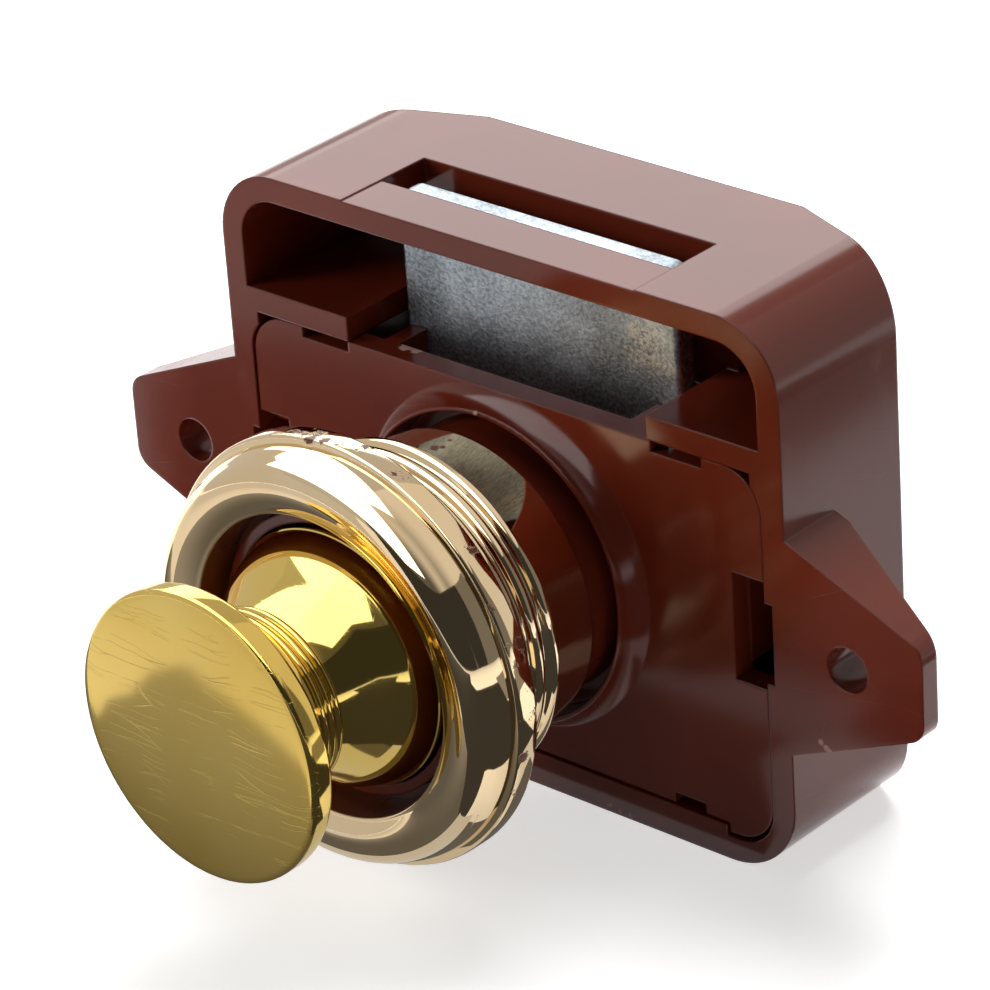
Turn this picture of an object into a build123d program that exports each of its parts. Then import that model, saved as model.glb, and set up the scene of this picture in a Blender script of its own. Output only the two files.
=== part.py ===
"""Push-button furniture lock with a screw-on case, a sprung button and a rising bolt.

The case screws to the inner face of a door. A round button passes through the door
and through an escutcheon that sits on its outer face. Pressing the button drives a
flat bolt up out of the slot in the top of the case, and a heart-shaped track with a
wire follower holds the button in until it is pressed again.

Frame, in millimetres: the origin lies on the button's axis in the plane of the case's
front rim, which is the face that meets the door. +Z is the way the bolt is thrown,
-Y points out of the door towards the hand, and X runs along the screw ears.
"""

import os
from math import cos, radians, sin

from build123d import *

os.makedirs("parts", exist_ok=True)

# Case shell
case_width = 48.0
case_top = 22.9
case_bottom = 16.9
case_depth = 16.0
wall = 1.8
top_corner = 5.0
bottom_corner = 5.5
back_chamfer_side = 10.4
back_chamfer_depth = 3.9

# Screw ears
ear_reach = 34.7
ear_z = 0.6
ear_root_half = 7.8
ear_tip_half = 3.2
ear_tip_round = 1.6
ear_root_thickness = 5.2
ear_tip_thickness = 1.5
ear_shelf = 1.2
screw_spacing = 57.5
screw_hole_radius = 1.6

# Window and ledges beside the bolt
ledge_top = 14.2
ledge_thickness = 1.75
ledge_inner = 13.0
floor_thickness = 2.5
corner_pocket_width = 4.0
corner_pocket_drop = 0.8

# Bolt slot in the top wall
slot_front = 4.0
slot_back = 8.3
slot_half_width = 12.6
slot_strip_step = 0.08
channel_wall = 1.6

# Cover plate, boss and guide tube
cover_thickness = 1.8
cover_setback = 0.15
cover_gap = 0.14
cover_seat = 0.8
cover_corner = 3.0
cover_step_down = 0.75
ledge_notch_width = 4.2
foot_notch_width = 2.6
hook_window_width = 2.65
hook_window_top = 4.8
hook_window_bottom = -3.1
hook_notch_reach = 0.6
hook_notch_top = 3.4
hook_notch_bottom = -2.5
hook_thickness = 1.1
hook_length = 4.6
hook_barb = 1.5
boss_height = 1.85
boss_inner_radius = 11.1
boss_rim = 0.3
boss_base_radius = 12.37
boss_waist = 0.34
recess_floor = 1.0
guide_radius = 9.95
guide_bore_radius = 9.2
guide_reach = 16.2

# Escutcheon
lip_y = -18.3
lip_radius = 10.6
lip_round = 0.3
ring_crest_radius = 12.7
ring_crest = 0.68
ring_shoulder_radius = 14.2
ring_shoulder_y = -17.5
ring_edge_radius = 14.6
ring_edge_y = -16.0
flange_radius = 15.16
flange_back_y = -14.25
mouth_depth = 3.1
spigot_radius = 12.1
spigot_length = 1.3
thread_root_radius = 11.35
thread_pitch = 1.45
thread_turns = 3
sleeve_radius = 10.75
sleeve_end_y = -3.65
slide_clearance = 0.08

# Knob
knob_face_y = -29.5
knob_radius = 10.12
knob_dome = 0.18
knob_face_round = 0.55
knob_rim = 1.8
neck_radius = 6.25
neck_y = -24.65
neck_waist = 5.85
neck_beads = 3
bead_pitch = 0.75
bead_height = 0.33
bell_turn_radius = 7.3
bell_turn_y = -20.0
bell_radius = 9.04
bell_rim_y = -16.7
bell_rim_width = 0.7
skirt_end_y = -13.6
knob_bore_radius = 8.1
knob_bore_end_radius = 5.2
knob_bore_depth_y = -21.2

# Plunger, cross pin, screw and spring
stop_clearance = 0.7
bolt_throw = 7.5
tail_half_width = 6.6
tail_half_height = 4.0
tail_end_y = 4.5
plunger_gap = 0.05
flange_thickness = 1.2
cross_pin_radius = 0.75
cross_pin_y = 3.6
cross_pin_half_length = 8.5
pin_fit = 0.02
screw_radius = 1.5
screw_head_radius = 2.2
screw_head_height = 1.6
screw_seat_y = -12.0
screw_tip_y = -25.5
spring_wire = 0.8
spring_mean_radius = 8.4
spring_turns = 5.0

# Bolt
bolt_half_width = 11.95
bolt_thickness = 1.8
bolt_front_y = 4.75
bolt_top = 22.2
bolt_foot = -8.0
bolt_edge_round = 0.4
bolt_corner = 1.1
bolt_window_top = 5.2
cheek_gap = 0.4
cheek_thickness = 1.6
cheek_back_gap = 0.3
cam_clearance = 0.1
rail_half_centre = 10.75
rail_thickness = 1.3
rail_clearance = 0.12

# Heart-track follower and its leaf spring
wire_radius = 0.45
track_clearance = 0.2
track_depth = 1.1
track_hold = 1.0
tip_y = 2.75
pivot_setback = 1.7
follower_swing_deg = 12.0
wire_bend = 0.9
arm_drop = 1.4
pivot_fit = 0.05
pivot_boss_half = 3.3
pivot_boss_height = 2.2
leaf_thickness = 0.25
leaf_width = 5.0
leaf_block_height = 1.4
leaf_reach = 6.3
leaf_rise = 3.0
leaf_gap = 0.1

# Derived places
back_inner_y = case_depth - wall
side_inner = case_width / 2 - wall
corner_pocket_inner = side_inner - corner_pocket_width
hook_window_inner = side_inner - hook_window_width
button_stroke = back_inner_y - tail_end_y - stop_clearance
cheek_back_y = back_inner_y - cheek_back_gap
pivot_y = back_inner_y - pivot_setback
leaf_touch_y = pivot_y - leaf_reach
top_inner = case_top - wall
floor_z = -case_bottom + floor_thickness
ledge_bottom = ledge_top - ledge_thickness
seat_y = cover_setback + cover_thickness
cavity_half = side_inner - cover_seat
bolt_back_y = bolt_front_y + bolt_thickness
cheek_inner = tail_half_width + cheek_gap
case_mid_z = (case_top - case_bottom) / 2
arm_z = -tail_half_height - arm_drop
pivot_top = arm_z - wire_bend - pivot_fit
leaf_z = pivot_top - pivot_boss_height - leaf_thickness / 2
boss_front_y = cover_setback - boss_height


def depth_plane(y):
    """Plane parallel to the door at depth y, drawn in X and Z, with its normal towards the door."""
    return Plane(origin=(0, y, 0), x_dir=(1, 0, 0), z_dir=(0, -1, 0))


def save(part, name):
    """Label a finished piece and write it to its own file."""
    part.label = name
    export_step(part, f"parts/{name}.step")


# Case: screw ears, a symmetric pair with a sloping back
with BuildPart() as ears:
    with BuildSketch(depth_plane(ear_root_thickness)):
        with BuildLine():
            Polyline(
                (-ear_reach, ear_z - ear_tip_half),
                (-case_width / 2, ear_z - ear_root_half),
                (case_width / 2, ear_z - ear_root_half),
                (ear_reach, ear_z - ear_tip_half),
                (ear_reach, ear_z + ear_tip_half),
                (case_width / 2, ear_z + ear_root_half),
                (-case_width / 2, ear_z + ear_root_half),
                (-ear_reach, ear_z + ear_tip_half),
                close=True,
            )
        make_face()
        tips = vertices().filter_by(lambda v: abs(v.X) > case_width / 2 + 1)
        fillet(tips, ear_tip_round)
    extrude(amount=ear_root_thickness)
    with BuildSketch(Plane.XY):
        with BuildLine():
            Polyline(
                (-ear_reach, 0),
                (ear_reach, 0),
                (ear_reach, ear_tip_thickness),
                (case_width / 2 + ear_shelf, ear_root_thickness),
                (-case_width / 2 - ear_shelf, ear_root_thickness),
                (-ear_reach, ear_tip_thickness),
                close=True,
            )
        make_face()
    extrude(amount=ear_root_half + ear_z, both=True, mode=Mode.INTERSECT)

# Case: the hollow behind the rim, with the side ledges left standing
with BuildPart() as cavity:
    with BuildSketch(depth_plane(case_depth)):
        with Locations((0, (ledge_top + top_inner) / 2)):
            Rectangle(2 * side_inner, top_inner - ledge_top)
        fillet(vertices().group_by(Axis.Y)[-1], top_corner - wall)
        with Locations((0, (floor_z + ledge_bottom) / 2 + cover_seat / 2)):
            Rectangle(2 * cavity_half, ledge_bottom - floor_z - cover_seat)
        with Locations((0, ledge_bottom)):
            Rectangle(2 * ledge_inner, 2 * ledge_thickness + cover_seat)
    extrude(amount=case_depth + 1)
    with BuildSketch(Plane.XY.offset(-case_bottom)):
        with BuildLine():
            Polyline(
                (-case_width / 2, -2 * wall),
                (case_width / 2, -2 * wall),
                (case_width / 2, case_depth - back_chamfer_depth),
                (case_width / 2 - back_chamfer_side, case_depth),
                (back_chamfer_side - case_width / 2, case_depth),
                (-case_width / 2, case_depth - back_chamfer_depth),
                close=True,
            )
        make_face()
        offset(amount=-wall, kind=Kind.INTERSECTION)
    extrude(amount=case_top + case_bottom, mode=Mode.INTERSECT)

# Case: shell, pocket for the cover, bolt slot, rails and the follower's pivot
with BuildPart() as case:
    with BuildSketch(depth_plane(case_depth)):
        with Locations((0, case_mid_z)):
            Rectangle(case_width, case_top + case_bottom)
        fillet(vertices().group_by(Axis.Y)[-1], top_corner)
        fillet(vertices().group_by(Axis.Y)[0], bottom_corner)
    extrude(amount=case_depth)
    with BuildSketch(Plane.XY.offset(-case_bottom)):
        with BuildLine():
            Polyline(
                (-case_width / 2, 0),
                (case_width / 2, 0),
                (case_width / 2, case_depth - back_chamfer_depth),
                (case_width / 2 - back_chamfer_side, case_depth),
                (back_chamfer_side - case_width / 2, case_depth),
                (-case_width / 2, case_depth - back_chamfer_depth),
                close=True,
            )
        make_face()
    extrude(amount=case_top + case_bottom, mode=Mode.INTERSECT)
    add(ears.part)
    with BuildSketch(depth_plane(ear_root_thickness)):
        with Locations((0, ear_z)):
            with GridLocations(screw_spacing, 0, 2, 1):
                Circle(screw_hole_radius)
    extrude(amount=ear_root_thickness, mode=Mode.SUBTRACT)
    add(cavity.part, mode=Mode.SUBTRACT)
    # Pocket that the cover plate lies in, with a drop at each lower corner
    with BuildSketch(depth_plane(seat_y)):
        with Locations((0, (floor_z + ledge_bottom) / 2)):
            Rectangle(2 * side_inner, ledge_bottom - floor_z)
        for side in (-1, 1):
            with Locations((side * (side_inner + corner_pocket_inner) / 2, floor_z)):
                Rectangle(side_inner - corner_pocket_inner, 2 * corner_pocket_drop)
        fillet(vertices().group_by(Axis.Y)[-1], cover_corner)
        low = vertices().group_by(Axis.Y)[0]
        fillet(low.filter_by(lambda v: abs(v.X) > side_inner - 0.1), cover_corner)
    extrude(amount=seat_y, mode=Mode.SUBTRACT)
    # Notches in the rim beside the hook windows
    with BuildSketch(depth_plane(seat_y + cover_thickness)):
        notch_reach = side_inner + hook_notch_reach
        with Locations((0, (hook_notch_top + hook_notch_bottom) / 2)):
            Rectangle(2 * notch_reach, hook_notch_top - hook_notch_bottom)
    extrude(amount=seat_y + cover_thickness, mode=Mode.SUBTRACT)
    # Pockets in the side walls for the cover's barbs
    barb_front = seat_y + hook_length - hook_barb
    with BuildSketch(depth_plane(seat_y + hook_length + cover_gap)):
        with Locations((0, (hook_window_top + hook_window_bottom) / 2)):
            Rectangle(2 * notch_reach, hook_window_top - hook_window_bottom)
    extrude(amount=hook_barb + 2 * cover_gap, mode=Mode.SUBTRACT)
    # Bolt slot through the top wall, and the shallow strip in front of it
    with BuildSketch(Plane.XY.offset(case_top)):
        with Locations((0, (slot_front + slot_back) / 2)):
            Rectangle(2 * slot_half_width, slot_back - slot_front)
    extrude(amount=-2 * wall, mode=Mode.SUBTRACT)
    with BuildSketch(Plane.XY.offset(case_top)):
        with Locations((0, slot_front / 2)):
            Rectangle(2 * slot_half_width, slot_front)
    extrude(amount=-slot_strip_step, mode=Mode.SUBTRACT)
    # Wall behind the slot, down to the ledges
    with BuildSketch(Plane.XY.offset(ledge_bottom)):
        with Locations((0, slot_back + channel_wall / 2)):
            Rectangle(2 * (ledge_inner + 1), channel_wall)
    extrude(amount=top_inner - ledge_bottom)
    # Two rails that the bolt's back slides on
    with BuildSketch(Plane.XY.offset(floor_z)):
        with GridLocations(2 * rail_half_centre, 0, 2, 1):
            with Locations((0, (bolt_back_y + rail_clearance + back_inner_y) / 2)):
                Rectangle(rail_thickness, back_inner_y - bolt_back_y - rail_clearance)
    extrude(amount=ledge_bottom - floor_z)
    # Block on the back wall with the follower's pivot hole and the leaf spring's pocket
    block_depth = back_inner_y - pivot_y + 4 * wire_radius
    block_height = pivot_boss_height + leaf_thickness + leaf_block_height
    with BuildSketch(Plane.XY.offset(pivot_top)):
        with Locations((0, back_inner_y - block_depth / 2)):
            Rectangle(2 * pivot_boss_half, block_depth)
    extrude(amount=-block_height)
    with BuildSketch(Plane.XY.offset(pivot_top)):
        with Locations((0, pivot_y)):
            Circle(wire_radius + pivot_fit)
    extrude(amount=-pivot_boss_height, mode=Mode.SUBTRACT)
    with BuildSketch(depth_plane(back_inner_y)):
        with Locations((0, leaf_z)):
            Rectangle(leaf_width, leaf_thickness)
    extrude(amount=block_depth, mode=Mode.SUBTRACT)
    save(case.part, "case")

# Cover: one moulding of plate, boss, guide tube, hooks and front rails
with BuildPart() as cover:
    plate_half = side_inner - cover_gap
    plate_top = ledge_bottom - cover_gap
    plate_bottom = floor_z + cover_gap
    with BuildSketch(depth_plane(seat_y)):
        with Locations((0, (plate_top + plate_bottom) / 2)):
            Rectangle(2 * plate_half, plate_top - plate_bottom)
        for side in (-1, 1):
            tab_inner = corner_pocket_inner + cover_gap
            with Locations((side * (plate_half + tab_inner) / 2, plate_bottom)):
                Rectangle(plate_half - tab_inner, 2 * (corner_pocket_drop - cover_gap))
        fillet(vertices().group_by(Axis.Y)[-1], cover_corner)
        low = vertices().group_by(Axis.Y)[0]
        fillet(low.filter_by(lambda v: abs(v.X) > plate_half - 0.1), cover_corner)
        # Shallow notches under the ledges and beside the lower tabs
        for side in (-1, 1):
            notch_x = (ledge_inner + hook_window_inner) / 2 - 1
            with Locations((side * notch_x, plate_top)):
                Rectangle(ledge_notch_width, 2 * cover_step_down, mode=Mode.SUBTRACT)
            with Locations((side * (corner_pocket_inner - 1.2 * foot_notch_width), plate_bottom)):
                Rectangle(foot_notch_width, 2 * cover_step_down, mode=Mode.SUBTRACT)
        with Locations((0, (hook_window_top + hook_window_bottom) / 2)):
            for side in (-1, 1):
                window_x = side * (hook_window_inner + plate_half) / 2
                with Locations((window_x, 0)):
                    Rectangle(
                        plate_half - hook_window_inner + 0.2,
                        hook_window_top - hook_window_bottom,
                        mode=Mode.SUBTRACT,
                    )
    extrude(amount=cover_thickness)
    # Boss with its flared foot, turned about the button's axis
    with BuildSketch(Plane.XY):
        with BuildLine():
            boss_crest = ThreePointArc(
                (boss_inner_radius, boss_front_y + 0.1),
                (boss_inner_radius + boss_rim / 2, boss_front_y),
                (boss_inner_radius + boss_rim, boss_front_y + 0.1),
            )
            flare = ThreePointArc(
                boss_crest @ 1,
                (boss_inner_radius + boss_rim + boss_waist, cover_setback - boss_height / 2 + 0.1),
                (boss_base_radius, cover_setback),
            )
            Polyline(
                flare @ 1,
                (boss_base_radius, seat_y - cover_thickness / 2),
                (boss_inner_radius, seat_y - cover_thickness / 2),
                boss_crest @ 0,
            )
        make_face()
    revolve(axis=Axis.Y)
    # The flare never rises above the plate's upper edge
    with BuildSketch(depth_plane(seat_y)):
        with Locations((0, plate_top + case_top / 2)):
            Rectangle(case_width, case_top)
    extrude(amount=2 * seat_y - boss_front_y, mode=Mode.SUBTRACT)
    # Recess for the escutcheon's sleeve, guide tube and plunger opening
    with BuildSketch(depth_plane(recess_floor)):
        Circle(boss_inner_radius)
        Circle(guide_radius, mode=Mode.SUBTRACT)
    extrude(amount=recess_floor - boss_front_y, mode=Mode.SUBTRACT)
    with BuildSketch(depth_plane(recess_floor)):
        Circle(guide_radius)
        Circle(guide_bore_radius, mode=Mode.SUBTRACT)
    extrude(amount=recess_floor + guide_reach)
    with BuildSketch(depth_plane(seat_y)):
        Rectangle(2 * tail_half_width + 0.4, 2 * tail_half_height + 0.4)
    extrude(amount=cover_thickness, mode=Mode.SUBTRACT)
    # Snap hooks behind the windows
    for side in (-1, 1):
        with BuildSketch(Plane.XY.offset(hook_window_bottom + 0.6)):
            with BuildLine():
                Polyline(
                    (side * (hook_window_inner - hook_thickness), seat_y - 0.2),
                    (side * hook_window_inner, seat_y - 0.2),
                    (side * hook_window_inner, barb_front),
                    (side * (cavity_half + cover_seat / 2), barb_front),
                    (side * hook_window_inner, seat_y + hook_length),
                    (side * (hook_window_inner - hook_thickness), seat_y + hook_length),
                    close=True,
                )
            make_face()
        extrude(amount=hook_window_top - hook_window_bottom - 1.2)
    # Rails that the bolt's front slides on
    with BuildSketch(depth_plane(bolt_front_y - rail_clearance)):
        with Locations((0, plate_top / 4)):
            with GridLocations(2 * rail_half_centre, 0, 2, 1):
                Rectangle(rail_thickness, 1.5 * plate_top)
    extrude(amount=bolt_front_y - rail_clearance - seat_y)
    save(cover.part, "cover")

# Escutcheon: rolled ring, stepped flange, ridged spigot and plain sleeve in one turning
with BuildPart() as escutcheon:
    sleeve_bore = guide_radius + slide_clearance
    thread_start = flange_back_y + spigot_length
    with BuildSketch(Plane.XY):
        with BuildLine():
            bead = ThreePointArc(
                (lip_radius, lip_y + lip_round),
                (lip_radius + 0.3 * lip_round, lip_y + 0.3 * lip_round),
                (lip_radius + lip_round, lip_y),
            )
            rise = ThreePointArc(
                bead @ 1,
                ((lip_radius + lip_round + ring_crest_radius) / 2, lip_y - 0.73 * ring_crest),
                (ring_crest_radius, lip_y - ring_crest),
            )
            shoulder = ThreePointArc(
                rise @ 1,
                (ring_shoulder_radius - 0.45, lip_y - 0.29 * ring_crest),
                (ring_shoulder_radius, ring_shoulder_y),
            )
            ring = ThreePointArc(
                shoulder @ 1,
                (ring_edge_radius - 0.12, (ring_shoulder_y + ring_edge_y) / 2),
                (ring_edge_radius, ring_edge_y),
            )
            flange = Polyline(
                ring @ 1,
                (ring_edge_radius + 0.18, ring_edge_y),
                (ring_edge_radius + 0.18, ring_edge_y + 0.15),
                (flange_radius - 0.1, ring_edge_y + 0.15),
                (flange_radius, ring_edge_y + 0.3),
                (flange_radius, flange_back_y),
                (spigot_radius, flange_back_y),
                (spigot_radius, thread_start),
            )
            crest_edges = []
            for turn in range(thread_turns):
                root = thread_start + turn * thread_pitch
                crest_edges += [
                    (thread_root_radius, root + 0.30 * thread_pitch),
                    (thread_root_radius, root + 0.45 * thread_pitch),
                    (spigot_radius, root + 0.75 * thread_pitch),
                    (spigot_radius, root + 1.00 * thread_pitch),
                ]
            ridges = Polyline(flange @ 1, *crest_edges)
            Polyline(
                ridges @ 1,
                (sleeve_radius, (ridges @ 1).Y + 0.2),
                (sleeve_radius, sleeve_end_y - 0.15),
                (sleeve_radius - 0.15, sleeve_end_y),
                (sleeve_bore, sleeve_end_y),
                (sleeve_bore, lip_y + mouth_depth),
                (lip_radius, lip_y + mouth_depth),
                bead @ 0,
            )
        make_face()
    revolve(axis=Axis.Y)
    save(escutcheon.part, "escutcheon")

# Knob: domed face, rolled rim, beaded neck, bell and skirt, hollow from behind
with BuildPart() as knob:
    rim_back_y = knob_face_y + knob_rim
    with BuildSketch(Plane.XY):
        with BuildLine():
            face = ThreePointArc(
                (0, knob_face_y - knob_dome),
                (knob_radius / 2, knob_face_y - 0.75 * knob_dome),
                (knob_radius - knob_face_round, knob_face_y),
            )
            edge = ThreePointArc(
                face @ 1,
                (knob_radius - 0.3 * knob_face_round, knob_face_y + 0.3 * knob_face_round),
                (knob_radius, knob_face_y + knob_face_round),
            )
            rim = Line(edge @ 1, (knob_radius, rim_back_y - knob_face_round))
            roll = ThreePointArc(
                rim @ 1,
                (knob_radius - 0.3 * knob_face_round, rim_back_y - 0.3 * knob_face_round),
                (knob_radius - knob_face_round, rim_back_y),
            )
            neck = ThreePointArc(
                roll @ 1,
                ((knob_radius + neck_radius) / 2 - 1.0, (rim_back_y + neck_y) / 2 - 0.5),
                (neck_radius, neck_y),
            )
            neck_taper = (neck_radius - neck_waist) / neck_beads
            for turn in range(neck_beads):
                neck = ThreePointArc(
                    neck @ 1,
                    (
                        neck_radius - (turn + 0.5) * neck_taper + bead_height,
                        neck_y + (turn + 0.5) * bead_pitch,
                    ),
                    (neck_radius - (turn + 1) * neck_taper, neck_y + (turn + 1) * bead_pitch),
                )
            throat = ThreePointArc(
                neck @ 1,
                (
                    (neck_waist + bell_turn_radius) / 2 - 0.12,
                    ((neck @ 1).Y + bell_turn_y) / 2,
                ),
                (bell_turn_radius, bell_turn_y),
            )
            bell = ThreePointArc(
                throat @ 1,
                (
                    (bell_turn_radius + bell_radius) / 2 + 0.14,
                    (bell_turn_y + bell_rim_y) / 2 - 0.16,
                ),
                (bell_radius - 0.1, bell_rim_y),
            )
            Polyline(
                bell @ 1,
                (bell_radius, bell_rim_y),
                (bell_radius, bell_rim_y + bell_rim_width),
                (bell_radius - 0.1, bell_rim_y + bell_rim_width),
                (bell_radius - 0.1, skirt_end_y),
                (knob_bore_radius, skirt_end_y),
                (knob_bore_radius, bell_rim_y - 1),
                (knob_bore_end_radius, knob_bore_depth_y),
                (screw_radius, knob_bore_depth_y),
                (screw_radius, screw_tip_y - 0.5),
                (0, screw_tip_y - 1.3),
                (0, knob_face_y - knob_dome),
            )
        make_face()
    revolve(axis=Axis.Y)
    save(knob.part, "knob")

# Plunger: round head in the knob, spring flange, rectangular tail with the heart track
with BuildPart() as plunger:
    with BuildSketch(Plane.XY):
        with BuildLine():
            Polyline(
                (0, knob_bore_depth_y + plunger_gap),
                (knob_bore_end_radius - 2 * plunger_gap, knob_bore_depth_y + plunger_gap),
                (knob_bore_radius - plunger_gap, bell_rim_y - 0.9),
                (knob_bore_radius - plunger_gap, skirt_end_y + plunger_gap),
                (spring_mean_radius + spring_wire / 2, skirt_end_y + plunger_gap),
                (spring_mean_radius + spring_wire / 2, skirt_end_y + flange_thickness),
                (0, skirt_end_y + flange_thickness),
                close=True,
            )
        make_face()
    revolve(axis=Axis.Y)
    with BuildSketch(depth_plane(tail_end_y)):
        RectangleRounded(2 * tail_half_width, 2 * tail_half_height, 0.5)
    extrude(amount=tail_end_y - skirt_end_y)
    # Screw bore from behind, then the clearance hole into the knob
    with BuildSketch(depth_plane(tail_end_y)):
        Circle(screw_head_radius + 0.1)
    extrude(amount=tail_end_y - screw_seat_y, mode=Mode.SUBTRACT)
    with BuildSketch(depth_plane(screw_seat_y)):
        Circle(screw_radius + 0.1)
    extrude(amount=screw_seat_y - knob_bore_depth_y, mode=Mode.SUBTRACT)
    with BuildSketch(Plane.YZ):
        with Locations((cross_pin_y, 0)):
            Circle(cross_pin_radius + pin_fit)
    extrude(amount=tail_half_width, both=True, mode=Mode.SUBTRACT)
    # Heart track: a straight push branch, a holding notch and a bowed return branch
    arm_length = pivot_y - tip_y
    deep_x = arm_length * sin(radians(follower_swing_deg))
    deep_y = pivot_y - arm_length * cos(radians(follower_swing_deg)) - button_stroke
    track_half = wire_radius + track_clearance
    with BuildSketch(Plane.XY.offset(-tail_half_height)):
        with BuildLine():
            track = Polyline(
                (0, tip_y),
                (deep_x, deep_y),
                (0, deep_y + track_hold),
                (-deep_x, deep_y),
                (-deep_x, deep_y + button_stroke / 2),
                close=True,
            )
        trace(line_width=2 * track_half)
        with Locations(*[(v.X, v.Y) for v in track.vertices()]):
            Circle(track_half)
    extrude(amount=track_depth, mode=Mode.SUBTRACT)
    save(plunger.part, "plunger")

# Screw that holds the knob on the plunger
with BuildPart() as knob_screw:
    with BuildSketch(depth_plane(screw_seat_y + screw_head_height)):
        Circle(screw_head_radius)
    extrude(amount=screw_head_height)
    fillet(edges().group_by(Axis.Y)[-1], 0.5)
    with BuildSketch(depth_plane(screw_seat_y + screw_head_height)):
        Rectangle(2.6, 0.6)
        Rectangle(0.6, 2.6)
    extrude(amount=0.8, mode=Mode.SUBTRACT)
    with BuildSketch(depth_plane(screw_seat_y)):
        Circle(screw_radius - pin_fit)
    extrude(amount=screw_seat_y - screw_tip_y)
    save(knob_screw.part, "knob_screw")

# Cross pin that carries the bolt's cheeks
with BuildPart() as cross_pin:
    with BuildSketch(Plane.YZ):
        with Locations((cross_pin_y, 0)):
            Circle(cross_pin_radius)
    extrude(amount=cross_pin_half_length, both=True)
    chamfer(edges(), 0.2)
    save(cross_pin.part, "cross_pin")

# Return spring between the cover's web and the plunger's flange
with BuildPart() as return_spring:
    spring_front_y = skirt_end_y + flange_thickness + spring_wire / 2 + 0.05
    spring_back_y = cover_setback - spring_wire / 2 - 0.05
    spring_pitch = (spring_back_y - spring_front_y) / spring_turns
    with BuildLine():
        coil = Helix(
            spring_pitch,
            spring_back_y - spring_front_y,
            spring_mean_radius,
            center=(0, spring_front_y, 0),
            direction=(0, 1, 0),
        )
    with BuildSketch(Plane(coil @ 0, z_dir=coil % 0)):
        Circle(spring_wire / 2)
    sweep(path=coil, is_frenet=True)
    save(return_spring.part, "return_spring")

# Bolt: one casting of a flat nose plate, two legs and two cheeks with inclined slots
with BuildPart() as bolt:
    with BuildSketch(depth_plane(bolt_back_y)):
        with Locations((0, (bolt_top + bolt_foot) / 2)):
            Rectangle(2 * bolt_half_width, bolt_top - bolt_foot)
        with Locations((0, (bolt_window_top + bolt_foot) / 2)):
            Rectangle(2 * cheek_inner, bolt_window_top - bolt_foot, mode=Mode.SUBTRACT)
        fillet(vertices().group_by(Axis.Y)[-1], bolt_corner)
    extrude(amount=bolt_thickness)
    long_edges = edges().filter_by(Axis.Z).filter_by(lambda e: abs(e.center().X) > bolt_half_width - 0.1)
    fillet(long_edges, bolt_edge_round)
    cam_half = cross_pin_radius + cam_clearance
    cheek_front_y = seat_y + 0.35
    cheek_top = cam_half + 2.3
    cheek_low = -bolt_throw - cam_half - 1.2
    for side in (-1, 1):
        with BuildSketch(Plane.YZ.offset(side * (cheek_inner + cheek_thickness / 2))):
            with Locations(((cheek_front_y + cheek_back_y) / 2, (cheek_top + cheek_low) / 2)):
                RectangleRounded(cheek_back_y - cheek_front_y, cheek_top - cheek_low, 1.0)
        extrude(amount=cheek_thickness / 2, both=True)
    with BuildSketch(Plane.YZ):
        with BuildLine():
            cam_line = Line((cross_pin_y, 0), (cross_pin_y + button_stroke, -bolt_throw))
        trace(line_width=2 * cam_half)
        with Locations(cam_line @ 0, cam_line @ 1):
            Circle(cam_half)
    extrude(amount=cheek_inner + cheek_thickness, both=True, mode=Mode.SUBTRACT)
    save(bolt.part, "bolt")

# Wire follower: tip in the track, arm under the plunger, pivot leg in the case's boss
with BuildPart() as follower:
    with BuildLine():
        wire = FilletPolyline(
            (0, tip_y, -tail_half_height + track_depth - 0.2),
            (0, tip_y, arm_z),
            (0, pivot_y, arm_z),
            (0, pivot_y, pivot_top - pivot_boss_height + leaf_gap),
            radius=wire_bend,
        )
    with BuildSketch(Plane(wire @ 0, z_dir=wire % 0)):
        Circle(wire_radius)
    sweep(path=wire)
    save(follower.part, "follower")

# Leaf spring that presses the follower's arm into the track
with BuildPart() as leaf_spring:
    with BuildSketch(Plane.YZ):
        with BuildLine():
            FilletPolyline(
                (back_inner_y, leaf_z),
                (leaf_touch_y + leaf_rise, leaf_z),
                (leaf_touch_y, arm_z - wire_radius - leaf_thickness / 2 - leaf_gap),
                (leaf_touch_y - 1.2, arm_z - wire_radius - leaf_thickness / 2 - 0.7),
                radius=0.6,
            )
        trace(line_width=leaf_thickness)
    extrude(amount=leaf_width / 2, both=True)
    save(leaf_spring.part, "leaf_spring")
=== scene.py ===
"""Dresses the push-button furniture lock and sets it under soft studio light.

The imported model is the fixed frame: lengths in metres, the origin on the button's
axis in the plane of the case's front rim, +Z the way the bolt is thrown and -Y out
of the door. The turned pieces and the spring are modelled here over their solids,
and every other piece is the solid itself under a better finish.
"""

from __future__ import annotations

import logging
import math
from dataclasses import dataclass, field
from enum import Enum
from functools import reduce
from typing import Iterable, Sequence

import bpy
from mathutils import Matrix, Vector

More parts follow.
